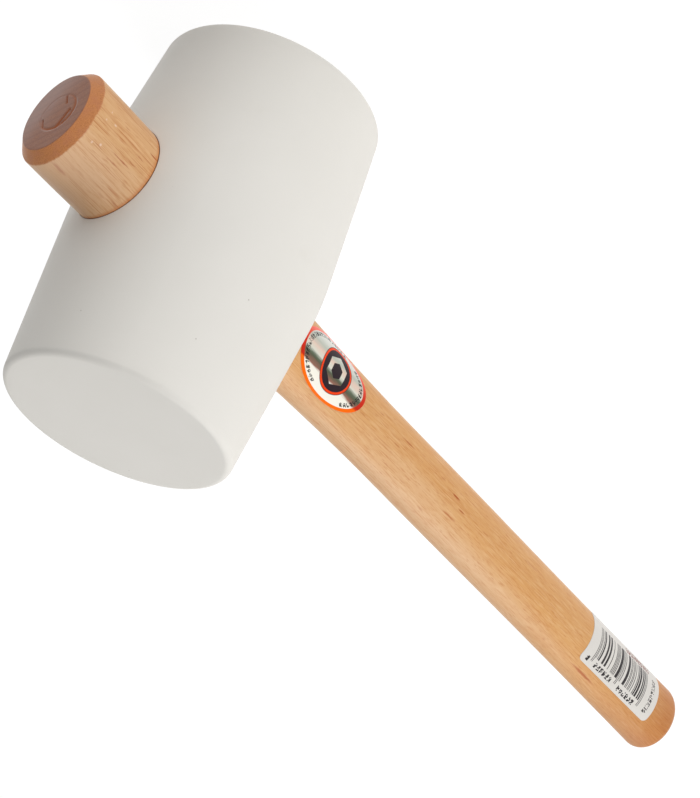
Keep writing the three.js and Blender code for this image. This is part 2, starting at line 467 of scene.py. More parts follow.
def make_head(material):
    """The barrel as a grid of quads, with a window of the grid replaced, on each side, by
    rings that close in on the eye, roll over its lip and line it."""
    half = barrel_half()
    waist_row = len(half)
    outline = [(r, -h) for r, h in reversed(half)] + [(wall_radius(0), 0)] + half
    skin = Skin()
    rows = add_barrel(skin, outline, waist_row)
    window = window_edge()
    angles = [math.atan2(-b / EYE_HALF_ROWS, -a / EYE_HALF_COLUMNS) for a, b in window]
    mouths = []
    for side, centre in ((1, 0), (-1, HEAD_COLUMNS // 2)):
        edge = [rows[waist_row + b][(centre + side * a) % HEAD_COLUMNS] for a, b in window]
        mouths.append(add_mouth(skin, side, edge, angles))
    add_lining(skin, *mouths, angles)
    return make_piece("white_head", skin, "rubber_head", material)


# ---------- labels
def subdivide_outline(points, longest):
    """The same outline with points added along any side longer than a given length."""
    result = []
    for start, end in zip(points, points[1:] + points[:1]):
        pieces = max(1, math.ceil(math.dist(start, end) / longest))
        for k in range(pieces):
            along = between(start[0], end[0], k / pieces)
            result.append((along, between(start[1], end[1], k / pieces)))
    return result


def rounded_rectangle(half_length, half_width, corner, steps=10):
    """Outline points of a rectangle with round corners."""
    points = []
    for quarter, (along, across) in enumerate(((1, 1), (-1, 1), (-1, -1), (1, -1))):
        centre = (along * (half_length - corner), across * (half_width - corner))
        start = quarter * math.pi / 2
        points += arc_points(centre, corner, start, start + math.pi / 2, steps)
    return points


def sticker_layers(outline):
    """A thin sticker's rings of flat points, each with its lift from the wood: out across
    the underside, up the edge, and back in across the top side."""
    def shrunk(share):
        return [(along * share, around * share) for along, around in outline]

    top = LABEL_LIFT + LABEL_THICKNESS
    trim = 1 - LABEL_TRIM / max(abs(along) for along, around in outline)
    layers = [([(0, 0)], LABEL_LIFT)]
    for k in range(1, LABEL_RINGS + 1):
        layers.append((shrunk(k / LABEL_RINGS), LABEL_LIFT))
    for share in (0.35, 0.75):
        layers.append((outline, between(LABEL_LIFT, top, share)))
    layers.append((shrunk(trim), top))
    for k in range(LABEL_RINGS - 1, 0, -1):
        layers.append((shrunk(k / LABEL_RINGS), top))
    layers.append(([(0, 0)], top))
    return layers


def add_print_map(piece, flat, underside):
    """The map for the printing: each vertex's flat place, the top side in the lower half of
    the map, and the underside, which has the first vertices, in the upper half."""
    layer = piece.data.uv_layers.new(name="print")
    for face in piece.data.polygons:
        half = 0.75 if max(face.vertices) < underside else 0.25
        for corner in face.loop_indices:
            along, around = flat[piece.data.loops[corner].vertex_index]
            layer.data[corner].uv = (0.5 + along / PRINT_SPAN, half + around / PRINT_SPAN)


def wrap_label(name, outline, centre, turn, slant, replaced, material):
    """A thin sticker laid on the handle, faintly rippled. Its outline turns anticlockwise
    with the distance around drawn upwards. That distance runs down the handle's side, so the
    outline is turned round here, for the faces to point outwards."""
    layers = sticker_layers(outline[::-1])
    rings = []
    for points, lift in layers:
        ring = []
        for along, around in points:
            place = centre + along * math.cos(slant) - around * math.sin(slant)
            across = turn + along * math.sin(slant) + around * math.cos(slant)
            ripple = 1 + noise.noise(Vector((along, around, 0)) * LABEL_RIPPLE_SCALE)
            angle = across / half_height(place)
            ring.append(handle_point(place, angle, None, lift + LABEL_RIPPLE * ripple))
        rings.append(ring)
    piece = make_piece(name, loft(rings), replaced, material)
    flat = [point for points, lift in layers for point in points]
    add_print_map(piece, flat, 1 + LABEL_RINGS * len(outline))
    return piece


def make_round_label(material):
    outline = []
    for angle in turns(FOIL_SIDES):
        along = FOIL_HALF_LENGTH * math.cos(angle)
        outline.append((along, FOIL_HALF_WIDTH * math.sin(angle)))
    return wrap_label(
        "foil_sticker", outline, FOIL_CENTRE, 0, FOIL_SLANT,
        "round_label", material
    )


def make_barcode_label(material):
    outline = rounded_rectangle(BARCODE_HALF_LENGTH, BARCODE_HALF_WIDTH, BARCODE_CORNER)
    outline = subdivide_outline(outline, BARCODE_STEP)
    return wrap_label(
        "barcode_sticker", outline, BARCODE_CENTRE, BARCODE_TURN, 0,
        "barcode_label", material
    )


# ---------- node helpers
class Shader:
    """The nodes of a material, or of the world, made and linked by short calls. Places are
    in millimetres."""

    def __init__(self, name, family=bpy.data.materials):
        self.owner = family.new(name)
        self.owner.use_nodes = True
        self.tree = self.owner.node_tree

    def node(self, kind, inputs=(), **settings):
        """A node with its settings, and its inputs given by name or number."""
        made = self.tree.nodes.new(kind)
        for key, value in settings.items():
            setattr(made, key, value)
        for key, value in dict(inputs).items():
            self.feed(made.inputs[key], value)
        return made

    def feed(self, socket, value):
        if isinstance(value, bpy.types.NodeSocket):
            self.tree.links.new(value, socket)
        else:
            socket.default_value = value

    def set(self, **values):
        """Feeds the surface's sockets, whose names have underscores for spaces."""
        surface = self.tree.nodes["Principled BSDF"]
        for key, value in values.items():
            self.feed(surface.inputs[key.replace("_", " ")], value)

    def math(self, operation, first, second=0.0):
        made = self.node("ShaderNodeMath", {0: first, 1: second}, operation=operation)
        return made.outputs[0]

    def plus(self, first, second):
        return self.math("ADD", first, second)

    def minus(self, first, second):
        return self.math("SUBTRACT", first, second)

    def times(self, first, second):
        return self.math("MULTIPLY", first, second)

    def most(self, values):
        """The greatest of several values."""
        return reduce(lambda first, second: self.math("MAXIMUM", first, second), values)

    def step(self, value, low, high, out_low=0.0, out_high=1.0):
        """A smooth change from one output to another as a value passes from low to high, of
        which low may be the greater."""
        inputs = {"Value": value, "From Min": low, "From Max": high}
        inputs.update({"To Min": out_low, "To Max": out_high})
        made = self.node("ShaderNodeMapRange", inputs, interpolation_type="SMOOTHSTEP")
        return made.outputs["Result"]

    def inside(self, value, low, high, soft):
        """1 where a value lies between two limits, with a soft edge."""
        rise = self.step(value, low - soft, low + soft)
        return self.times(rise, self.step(value, high + soft, high - soft))

    def vector(self, operation, first, second):
        made = self.node("ShaderNodeVectorMath", {0: first, 1: second}, operation=operation)
        return made.outputs["Vector"]

    def length(self, vector):
        made = self.node("ShaderNodeVectorMath", {0: vector}, operation="LENGTH")
        return made.outputs["Value"]

    def combine(self, x, y, z=0.0):
        return self.node("ShaderNodeCombineXYZ", {0: x, 1: y, 2: z}).outputs[0]

    def split(self, vector):
        return tuple(self.node("ShaderNodeSeparateXYZ", {0: vector}).outputs)

    def place(self, along, across=None):
        """The place in the row's frame, scaled along X and, if it differs, across it."""
        coordinates = self.node("ShaderNodeTexCoord").outputs["Object"]
        across = along if across is None else across
        return self.vector("MULTIPLY", coordinates, (along / MM, across / MM, across / MM))

    def noise(self, place, detail=2, roughness=0.5):
        inputs = {"Vector": place, "Scale": 1, "Detail": detail, "Roughness": roughness}
        return self.node("ShaderNodeTexNoise", inputs).outputs["Fac"]

    def wander(self, place, reach):
        """An offset that drifts, either way, by up to half of a reach along each axis."""
        drift = self.node("ShaderNodeTexNoise", {"Vector": place, "Scale": 1})
        centred = self.vector("SUBTRACT", drift.outputs["Color"], (0.5, 0.5, 0.5))
        return self.vector("MULTIPLY", centred, reach)

    def cells(self, place):
        """The distance to the middle of the nearest random cell, and that cell's chance."""
        made = self.node("ShaderNodeTexVoronoi", {"Vector": place, "Scale": 1})
        return made.outputs["Distance"], self.split(made.outputs["Color"])[0]

    def mix(self, share, first, second, blend="MIX"):
        """A mix of two colours: the node's inputs 6 and 7 and its output 2."""
        inputs = {0: share, 6: first, 7: second}
        made = self.node("ShaderNodeMix", inputs, data_type="RGBA", blend_type=blend)
        return made.outputs[2]

    def tint(self, base, colour, value, low, high, share=1, blend="MIX"):
        """A colour laid over a base, up to a share, as a value passes from low to high."""
        return self.mix(self.step(value, low, high, 0, share), base, colour, blend)

    def bump(self, height, distance, strength):
        inputs = {"Height": height, "Distance": distance, "Strength": strength}
        return self.node("ShaderNodeBump", inputs).outputs["Normal"]


# ---------- colours
def srgb(red, green, blue):
    """A colour given as 0 to 255 on screen, as the linear colour a shader takes."""
    colour = Color((red / 255, green / 255, blue / 255))
    return (*colour.from_srgb_to_scene_linear(), 1)


RUBBER_LIGHT = srgb(232, 229, 223)
RUBBER_DARK = srgb(225, 222, 215)
RUBBER_SMUDGE = srgb(208, 203, 192)
RUBBER_SPECK = srgb(140, 130, 120)

BEECH_PALE = srgb(220, 177, 132)
BEECH_HONEY = srgb(212, 158, 97)
PATCH_WOOD = srgb(205, 144, 80)
RING_WOOD = srgb(198, 132, 70)
PALE_FIBRE = srgb(232, 196, 152)
DARK_FIBRE = srgb(190, 118, 50)
FLECK_WOOD = srgb(180, 100, 38)
THREAD_WOOD = srgb(182, 104, 36)
STREAK_WOOD = srgb(170, 76, 8)
# Pale nicks, their paleness partly painted highlight
NICK_PALE_AND_HIGHLIGHT = srgb(240, 216, 196)
# Painted glare on the upper side of the stub beyond the head
STUB_GLARE_WOOD = srgb(230, 190, 156)
GRIP_SHADE = (0.8, 0.65, 0.52, 1)
BUTT_AMBER = (0.84, 0.62, 0.36, 1)
# Painted shade just outside the head's wall, and painted shadow where the handle enters the eye
SEAM_HALF_SHADE = srgb(196, 112, 50)
SEAM_SHADOW = srgb(92, 44, 18)
CUT_WOOD = srgb(202, 132, 76)
CUT_PORE = srgb(176, 104, 56)
CUT_MOTTLE = srgb(188, 118, 84)
END_WOOD = srgb(165, 114, 89)
END_PORE = srgb(142, 94, 73)
END_MOTTLE = srgb(150, 112, 102)
END_RING = srgb(122, 82, 64)
# Painted shade in the sunk driving mark, a painted highlight along its ring and painted glare on
# the +Y side
END_RECESS_SHADE = srgb(168, 92, 46)
END_RIM_HIGHLIGHT = srgb(206, 186, 180)
END_GLARE = srgb(192, 174, 171)
BUTT_WOOD = srgb(186, 112, 60)

FOIL_INK = srgb(34, 30, 30)
BADGE_RIM = srgb(52, 34, 30)
BADGE_ORANGE = srgb(240, 66, 12)
BADGE_DISC = srgb(38, 24, 32)

PAPER_LIGHT = srgb(222, 218, 212)
PAPER_DARK = srgb(213, 209, 203)
PAPER_INK = srgb(30, 22, 25)
PAPER_HEADING = srgb(120, 50, 38)


# ---------- rubber
def rubber_material():
    """Matte moulded rubber, off-white, faintly clouded, with a few specks of dirt."""
    shader = Shader("white_rubber")
    clouds = shader.noise(shader.place(0.02), 3, 0.55)
    base = shader.mix(clouds, RUBBER_LIGHT, RUBBER_DARK)
    smudges = shader.noise(shader.place(0.06), 4, 0.6)
    base = shader.tint(base, RUBBER_SMUDGE, smudges, 0.6, 0.78, 0.1)
    from_speck = shader.cells(shader.place(0.08))[0]
    base = shader.tint(base, RUBBER_SPECK, from_speck, 0.03, 0.01, 0.5)
    grain = shader.noise(shader.place(2.2), 4, 0.6)
    pits = shader.noise(shader.place(0.35))
    relief = shader.plus(shader.times(grain, 0.35), pits)
    shader.set(
        Base_Color=base,
        Roughness=shader.step(smudges, 0.3, 0.75, 0.56, 0.68),
        Normal=shader.bump(relief, 0.04 * MM, 0.6),
        Specular_IOR_Level=0.35,
    )
    return shader.owner


# ---------- beech
# The growth rings' pith lies outside the handle and leans a little along it. Millimetres
PITH_ACROSS = 34
PITH_BELOW = 78
PITH_LEAN = 0.012
RING_SPACING = 3.1

# The distinct dark flecks: the place along the handle in millimetres, the angle round it in
# degrees from the labelled side towards the bottom, the length and width in millimetres,
# and the strength.
STREAKS = (
    (-89, -17, 5, 0.7, 0.4), (-98, 9, 4, 0.8, 0.5), (-111, -12, 5, 0.8, 0.5),
    (-113, -48, 5, 0.7, 0.35), (-116, 6, 12, 0.8, 0.85), (-124, -49, 5, 0.7, 0.3),
    (-140, 6, 5, 0.8, 0.4), (-140, -60, 5, 0.8, 0.35), (-150, -1, 7, 1.2, 1.0),
    (-156, -13, 6, 1.0, 0.85), (-152, -33, 11, 1.0, 0.7), (-173, -10, 6, 0.8, 0.4),
    (-205, 12, 16, 0.8, 0.35), (-265, -61, 24, 1.6, 0.85), (45, -54, 6, 0.8, 0.6),
    (44, 14, 6, 0.8, 0.9), (49, 0, 6, 0.5, 0.6), (51, -11, 7, 0.5, 0.7),
    (51, -58, 6, 0.9, 0.4), (55, -17, 12, 0.6, 0.8), (57, -25, 9, 0.5, 0.65),
    (58, 15, 4, 0.8, 0.45), (62, -56, 5, 0.8, 0.4), (65, -23, 7, 0.5, 0.7),
    (67, -71, 9, 1.6, 0.95), (-190, 150, 12, 1.4, 0.8), (-120, 205, 15, 1.1, 0.7),
    (-232, 110, 10, 1.2, 0.6), (60, 120, 8, 1.3, 0.8),
)

# Small pale nicks in the lacquer near the top end, partly painted highlight, given in the same way
NICKS = (
    (63, 6, 1.6, 1.0, 0.8), (67, 3, 0.9, 1.3, 0.6), (67, -25, 1.1, 1.3, 0.8),
    (64, -21, 1.3, 1.2, 0.9), (66, 15, 0.8, 1.1, 0.6),
)


class Beech(Shader):
    """The handle's material, with the places and the patterns that several of its layers
    share. Up is counted from the handle's middle."""

    def __init__(self):
        super().__init__("lacquered_beech")
        self.spot = self.place(1)
        self.x, self.y, z = self.split(self.spot)
        self.up = self.minus(z, HEAD_MIDDLE / MM)
        self.rings = growth_rings(self)
        self.fibres = self.noise(self.place(0.16, 2.6), 3, 0.62)
        self.flecks = short_flecks(self)
        self.threads = thread_lines(self)
        self.pores = self.noise(self.place(0.3, 4.5), 2, 0.6)
        self.mottle = self.noise(self.place(0.35), 3, 0.6)
        self.ragged = self.wander(self.place(0.4, 1.6), (0, 0.7, 0.7))
        self.streaks = self.most(placed_mark(self, streak) for streak in STREAKS)
        self.nicks = self.most(placed_mark(self, nick) for nick in NICKS)


def growth_rings(beech):
    """The dark side of each growth ring: it rises slowly and ends sharply."""
    drift = beech.wander(beech.place(0.008, 0.02), (0, 9, 9))
    bent_y, bent_z = beech.split(beech.vector("ADD", beech.spot, drift))[1:]
    from_pith_y = beech.minus(bent_y, PITH_ACROSS)
    from_pith_z = beech.minus(bent_z, HEAD_MIDDLE / MM - PITH_BELOW)
    from_pith_z = beech.plus(from_pith_z, beech.times(beech.x, PITH_LEAN))
    radius = beech.length(beech.combine(from_pith_y, from_pith_z))
    ring = beech.math("FRACT", beech.math("DIVIDE", radius, RING_SPACING))
    return beech.times(beech.step(ring, 0.45, 0.95), beech.step(ring, 1, 0.95))


def short_flecks(beech):
    """Short dark flecks, in some of the cells of a stretched pattern."""
    distance, chance = beech.cells(beech.place(0.2, 1.5))
    near = beech.step(distance, 0.3, 0.08)
    return beech.times(near, beech.step(chance, 0.45, 0.9))


def thread_lines(beech):
    """Thin, long, nearly straight dark lines that gather where the handle thickens."""
    drift = beech.wander(beech.place(0.02, 0.08), (0, 1.6, 1.6))
    bent = beech.vector("ADD", beech.place(0.025, 2.4), drift)
    lines = beech.step(beech.noise(bent, 1, 0.4), 0.55, 0.68)
    broken = beech.step(beech.noise(beech.place(0.09, 0.5)), 0.42, 0.6, 0.25, 1)
    gathered = beech.step(beech.x, -60, 45, 0.3, 0.75)
    return beech.times(beech.times(lines, broken), gathered)


def placed_mark(beech, mark):
    """A ragged spindle-shaped mark, centred on the handle's surface."""
    along, degrees, length, width, strength = mark
    centre = handle_point(along * MM, math.radians(degrees)) / MM
    away = beech.vector("ADD", beech.vector("SUBTRACT", beech.spot, centre), beech.ragged)
    scaled = beech.vector("DIVIDE", away, (length / 2, width / 2, width / 2))
    return beech.step(beech.length(scaled), 0.3, 1, strength, 0)


def side_wood(beech):
    """Side grain: broad pale and honey zones, fine fibres, flecks, threads and streaks."""
    zones = beech.noise(beech.place(0.005, 0.05))
    # The zones lean towards the pale colour on the upper side, +Z
    zones = beech.step(beech.minus(zones, beech.times(beech.up, 0.012)), 0.3, 0.56)
    zones = beech.times(zones, beech.step(beech.x, -30, 40, 1, 0.4))
    wood = beech.mix(zones, BEECH_PALE, BEECH_HONEY)
    patches = beech.noise(beech.place(0.03, 0.35), 3, 0.55)
    wood = beech.tint(wood, PATCH_WOOD, patches, 0.42, 0.75, 0.22)
    wood = beech.mix(beech.times(beech.rings, 0.12), wood, RING_WOOD)
    pale_fibres = beech.noise(beech.place(0.12, 1.9))
    wood = beech.tint(wood, PALE_FIBRE, pale_fibres, 0.5, 0.68, 0.28)
    wood = beech.tint(wood, DARK_FIBRE, beech.fibres, 0.5, 0.66, 0.46)
    wood = beech.mix(beech.times(beech.flecks, 0.45), wood, FLECK_WOOD)
    wood = beech.mix(beech.threads, wood, THREAD_WOOD)
    wood = beech.mix(beech.times(beech.streaks, 0.95), wood, STREAK_WOOD)
    # Pale nicks: dents whose paleness is partly painted highlight
    return beech.mix(beech.times(beech.nicks, 0.75), wood, NICK_PALE_AND_HIGHLIGHT)


def butt_tone_and_glare_wood(beech, wood):
    """The same wood, darker and more amber towards the butt, and paler on its upper side
    where it stands out beyond the head, as painted glare."""
    butt = BUTT_END / MM
    wood = beech.tint(wood, GRIP_SHADE, beech.x, butt + 75, butt + 8, 0.75, "MULTIPLY")
    wood = beech.tint(wood, BUTT_AMBER, beech.x, butt + 22, butt + 4, 0.6, "MULTIPLY")
    # Painted glare: paler on the upper side where the handle stands out beyond the head
    upper_glare = beech.step(beech.up, 2, 16, 0, 0.45)
    upper_glare = beech.times(upper_glare, beech.step(beech.x, 35, 60))
    return beech.mix(upper_glare, wood, STUB_GLARE_WOOD)


def seam_wood(beech, wood):
    """The same wood, with painted shade outside the head's wall and painted shadow in the eye."""
    level = beech.math("ABSOLUTE", beech.up)
    taper = beech.most((beech.minus(level, WAIST_BLEND / 2 / MM), 0))
    from_axis = beech.length(beech.combine(beech.x, beech.y))
    from_wall = beech.plus(from_axis, beech.times(taper, WALL_SLOPE))
    from_wall = beech.minus(from_wall, WAIST_RADIUS / MM)
    # Painted shade: a warmer, darker band just outside the head's wall
    wood = beech.tint(wood, SEAM_HALF_SHADE, from_wall, 1.8, 0, 0.6)
    # Painted shadow where the handle enters the eye
    return beech.tint(wood, SEAM_SHADOW, from_wall, 0.3, -0.2, 0.9)


def chamfered_wood(beech, wood):
    """The same wood, with the rougher cut of the chamfer, whose edge is a little uneven."""
    uneven = beech.minus(beech.plus(beech.fibres, beech.mottle), 1)
    place = beech.plus(beech.x, beech.times(uneven, 0.7))
    edge = CHAMFER_START / MM
    cut_wood = beech.tint(CUT_WOOD, CUT_PORE, beech.pores, 0.4, 0.7)
    cut_wood = beech.tint(cut_wood, CUT_MOTTLE, beech.mottle, 0.4, 0.7, 0.4)
    return beech.tint(wood, cut_wood, place, edge - 0.4, edge + 0.2, 0.95)


def end_grain(beech, ring_y, from_ring):
    """End grain, with pores and growth rings. At the top end the driving mark is redder and darker
    where it is sunk, as painted shade, with a painted highlight along its outer edge, and the +Y
    side is paler, as painted glare. The butt is warmer."""
    end = beech.tint(END_WOOD, END_PORE, beech.pores, 0.35, 0.7)
    end = beech.tint(end, END_MOTTLE, beech.mottle, 0.4, 0.7, 0.3)
    end = beech.mix(beech.times(beech.rings, 0.3), end, END_RING)
    top = TOP_END / MM
    # Painted shade: darker and redder where the driving mark is sunk
    end = beech.tint(end, END_RECESS_SHADE, beech.x, top - 0.05, top - 0.4, 0.8)
    slant = beech.minus(beech.times(beech.up, DRIVE_SLANT), ring_y)
    # Painted highlight along the ring's outer edge, strongest on its slanted side
    ring_highlight = beech.inside(from_ring, 0.35, 0.95, 0.25)
    ring_highlight = beech.times(ring_highlight, beech.step(slant, 0, 7, 0, 0.5))
    ring_highlight = beech.times(ring_highlight, beech.step(beech.x, 0, 1))
    end = beech.mix(ring_highlight, end, END_RIM_HIGHLIGHT)
    # Painted glare: paler towards the +Y side of the end
    glare_side = beech.minus(ring_y, beech.times(beech.up, 0.45))
    end = beech.tint(end, END_GLARE, glare_side, -2, 13, 0.42)
    return beech.tint(end, BUTT_WOOD, beech.x, 1, -1, 0.8)


def beech_material():
    """Clear-lacquered beech, with side grain, painted shade at the seam, a chamfer and end grain.
    """
    beech = Beech()
    wood = butt_tone_and_glare_wood(beech, side_wood(beech))
    wood = chamfered_wood(beech, seam_wood(beech, wood))

    ring_y = beech.minus(beech.y, DRIVE_RING_ACROSS / MM)
    from_ring = beech.length(beech.combine(ring_y, beech.up))
    from_ring = beech.minus(from_ring, DRIVE_RING_RADIUS / MM)
    facing = beech.node("ShaderNodeNewGeometry").outputs["Normal"]
    endwise = beech.math("ABSOLUTE", beech.split(facing)[0])
    end_share = beech.step(endwise, beech.step(beech.x, -10, 10, 0.4, 0.72), 0.9)
    top_flat = beech.step(beech.x, TOP_END / MM - 1, TOP_END / MM - 0.8)
    marked = beech.times(top_flat, beech.inside(from_ring, -8, 2.5, 0.3))
    end_share = beech.most((end_share, marked))
    wood = beech.mix(end_share, wood, end_grain(beech, ring_y, from_ring))

    relief = beech.plus(beech.fibres, beech.times(beech.flecks, -0.4))
    relief = beech.minus(relief, beech.times(beech.threads, 0.4))
    relief = beech.minus(relief, beech.times(beech.nicks, 1.5))
    rough = beech.step(endwise, 0.5, 0.9, 0.46, 0.5)
    beech.set(
        Base_Color=wood,
        Roughness=beech.plus(rough, beech.times(beech.fibres, 0.12)),
        Normal=beech.bump(relief, 0.04 * MM, 0.6),
        Coat_Weight=0.1,
        Coat_Roughness=0.3,
        Specular_IOR_Level=0.3,
        Sheen_Weight=0.25,
        Sheen_Roughness=0.25,
    )
    return beech.owner


# ---------- printing
def print_place(shader):
    """Distances along and around the handle from a sticker's middle, in millimetres."""
    flat = shader.node("ShaderNodeUVMap", uv_map="print").outputs["UV"]
    across, up, _ = shader.split(flat)
    span = PRINT_SPAN / MM
    along = shader.times(shader.minus(across, 0.5), span)
    half = shader.math("FRACT", shader.times(up, 2))
    return along, shader.times(shader.minus(half, 0.5), span / 2)


def marks(shader, run, rise, first, pitch, count, bottom, height, seed):
    """A row of unreadable marks, each the size of a printed character: small squares, three
    wide and five high, filled at random."""
    place = shader.math("DIVIDE", shader.minus(run, first), pitch)
    column = shader.math("FLOOR", shader.times(shader.math("FRACT", place), 4))
    row = shader.math("DIVIDE", shader.minus(rise, bottom), height / 5)
    number = shader.plus(shader.math("FLOOR", place), seed)
    square = shader.combine(number, column, shader.math("FLOOR", row))
    chance = shader.node("ShaderNodeTexWhiteNoise", {"Vector": square})
    ink = shader.step(chance.outputs["Value"], 0.31, 0.33)
    ink = shader.times(ink, shader.step(column, 2.6, 2.4))
    ink = shader.times(ink, shader.inside(rise, bottom, bottom + height, 0.01))
    return shader.times(ink, shader.inside(run, first, first + pitch * count, 0.01))


# ---------- foil
# Painted reflections of the room across the foil, in long bands: the distance around the
# handle in millimetres, and the colour. The border's orange ink changes with them.
FOIL_REFLECTIONS = (
    (-12, (243, 240, 228)),
    (-5.6, (240, 237, 224)),
    (-4.6, (150, 104, 88)),
    (-2.9, (88, 88, 70)),
    (-1.9, (92, 104, 84)),
    (-0.4, (214, 214, 200)),
    (1.6, (222, 196, 180)),
    (3.6, (184, 188, 176)),
    (6.5, (212, 214, 206)),
    (8.5, (222, 222, 216)),
    (12, (236, 236, 232)),
)
BORDER_REFLECTIONS = (
    (-12, (255, 112, 0)),
    (-5.6, (252, 104, 0)),
    (-4.4, (196, 30, 0)),
    (0.5, (204, 40, 10)),
    (4.5, (232, 84, 60)),
    (8, (246, 116, 104)),
    (12, (250, 150, 140)),
)

# The ring of marks: how many would fill it, its runs as a first place and a count, and its
# inner edge and height as shares of the oval
RING_MARKS = 50
RING_RUNS = ((-10, 25), (-25, 7), (18, 7))
RING_BOTTOM = 0.77
RING_HEIGHT = 0.105

# The badge, in millimetres: its centre, its radii from the outside in, and the hexagon
BADGE_CENTRE = (-1.2, 0.3, 0)
BADGE_RADII = ((8.65, BADGE_RIM), (8.4, BADGE_ORANGE), (7.55, BADGE_DISC))
HEXAGON_INSIDE = 2.7
HEXAGON_OUTSIDE = 4.9
PRINT_SOFTNESS = 0.07


def band_colours(shader, across, bands):
    """Colours that change with a distance, evenly from one band to the next."""
    lowest, highest = bands[0][0], bands[-1][0]
    share = shader.math("DIVIDE", shader.minus(across, lowest), highest - lowest)
    ramp = shader.node("ShaderNodeValToRGB", {0: share})
    stops = ramp.color_ramp.elements
    for number, (place, colour) in enumerate(bands):
        position = (place - lowest) / (highest - lowest)
        stop = stops[number] if number < 2 else stops.new(position)
        stop.position = position
        stop.color = srgb(*colour)
    return ramp.outputs["Color"]


def hexagon_reach(shader, along, around):
    """How far a place lies from a hexagon's middle, measured square to the nearest side."""
    reaches = []
    for degrees in (0, 60, 120):
        angle = math.radians(degrees)
        first = shader.times(along, math.cos(angle))
        second = shader.times(around, math.sin(angle))
        reaches.append(shader.math("ABSOLUTE", shader.plus(first, second)))
    return shader.most(reaches)


def add_badge(shader, colour, flat, field):
    """The dark disc, ringed in orange, that holds a plain hexagon, and where its ink lies."""
    badge = shader.vector("SUBTRACT", flat, BADGE_CENTRE)
    from_centre = shader.length(badge)
    discs = []
    for radius, ink in BADGE_RADII:
        edge = (radius + PRINT_SOFTNESS, radius - PRINT_SOFTNESS)
        discs.append(shader.step(from_centre, *edge))
        colour = shader.mix(discs[-1], colour, ink)
    reach = hexagon_reach(shader, *shader.split(badge)[:2])
    hexagon = shader.inside(reach, HEXAGON_INSIDE, HEXAGON_OUTSIDE, PRINT_SOFTNESS)
    return shader.mix(hexagon, colour, field), shader.minus(discs[0], hexagon)


def foil_material():
    """A foil sticker: an orange border, a metallic field of painted reflections with a broken
    ring of unreadable marks, and a badge in the middle."""
    shader = Shader("printed_foil")
    along, around = print_place(shader)
    flat = shader.combine(along, around)
    long_share = shader.math("DIVIDE", along, FOIL_HALF_LENGTH / MM)
    wide_share = shader.math("DIVIDE", around, FOIL_HALF_WIDTH / MM)
    oval = shader.length(shader.combine(long_share, wide_share))
    turn = shader.math("ARCTAN2", wide_share, long_share)

    ripple = shader.noise(shader.vector("MULTIPLY", flat, (0.07, 0.5, 1)), 3, 0.6)
    sway = shader.times(shader.minus(ripple, 0.5), 3.2)
    lean = shader.times(along, 0.05)
    across = shader.plus(shader.plus(around, sway), lean)
    # The field's colours are painted reflections
    field = band_colours(shader, across, FOIL_REFLECTIONS)

    place = shader.times(turn, RING_MARKS / (2 * math.pi))
    letters = shader.most(
        marks(shader, place, oval, first, 1, count, RING_BOTTOM, RING_HEIGHT, 0)
        for first, count in RING_RUNS
    )
    colour = shader.mix(shader.times(letters, 0.92), field, FOIL_INK)
    border = shader.step(oval, 0.9, 0.91)
    # The border's orange, changed by the painted reflections
    colour = shader.mix(border, colour, band_colours(shader, across, BORDER_REFLECTIONS))

    colour, badge_ink = add_badge(shader, colour, flat, field)
    printed = shader.most((border, badge_ink, letters))
    shader.set(
        Base_Color=colour,
        Metallic=shader.step(printed, 0, 1, 0.3, 0),
        Roughness=shader.step(ripple, 0.3, 0.7, 0.3, 0.42),
        Normal=shader.bump(ripple, 0.02 * MM, 0.3),
        Specular_IOR_Level=0.14,
    )
    return shader.owner


# ---------- paper
# The bars, in millimetres from the sticker's middle: along from one guard to the other, and
# around from the foot of the bars, or of the longer guards, to their top
BARS_FIRST = -17.6
BARS_LAST = 21.3
BAR_MODULES = 95
BARS_FOOT = -7.4
GUARDS_FOOT = -9.6
BARS_TOP = 6.4
GUARD_MARGIN = 1.2
GUARD_INSET = 0.5
GUARD_BLANK = 0.9
GUARD_SPREAD = 0.42
GUARD_LINE = 0.17

# Rows of marks, as marks() takes them after its two distances: the first place, the pitch,
# the count, the bottom, the height and the seed
DIGIT_ROWS = (
    (22.7, 2.3, 1, -10.9, 2.4, 3),
    (4.6, 2.32, 6, -10.9, 2.4, 40),
    (-14.4, 2.32, 6, -11.1, 2.4, 71),
)
END_ROW = (-9.6, 1.75, 9, -24.1, 2.5, 120)
HEADING_ROW = (-19.5, 2.0, 10, 7.0, 3.2, 205)


def bars(shader, along, around):
    """Made-up bars from a random pattern, with a pair of longer lines at each end and in the
    middle."""
    module = (BARS_LAST - BARS_FIRST) / BAR_MODULES
    number = shader.math("FLOOR", shader.math("DIVIDE", along, module))
    chance = shader.node("ShaderNodeTexWhiteNoise", {"W": number}, noise_dimensions="1D")
    ink = shader.step(chance.outputs["Value"], 0.49, 0.51)
    limits = (BARS_FIRST + GUARD_MARGIN, BARS_LAST - GUARD_MARGIN)
    ink = shader.times(ink, shader.inside(along, *limits, 0.02))
    ink = shader.times(ink, shader.inside(around, BARS_FOOT, BARS_TOP, 0.08))
    middle = (BARS_FIRST + BARS_LAST) / 2
    for guard in (BARS_FIRST + GUARD_INSET, middle, BARS_LAST - GUARD_INSET):
        blank = shader.inside(along, guard - GUARD_BLANK, guard + GUARD_BLANK, 0.02)
        ink = shader.times(ink, shader.minus(1, blank))
        for place in (guard - GUARD_SPREAD, guard + GUARD_SPREAD):
            line = shader.inside(along, place - GUARD_LINE, place + GUARD_LINE, 0.03)
            tall = shader.inside(around, GUARDS_FOOT, BARS_TOP, 0.08)
            ink = shader.most((ink, shader.times(line, tall)))
    return ink


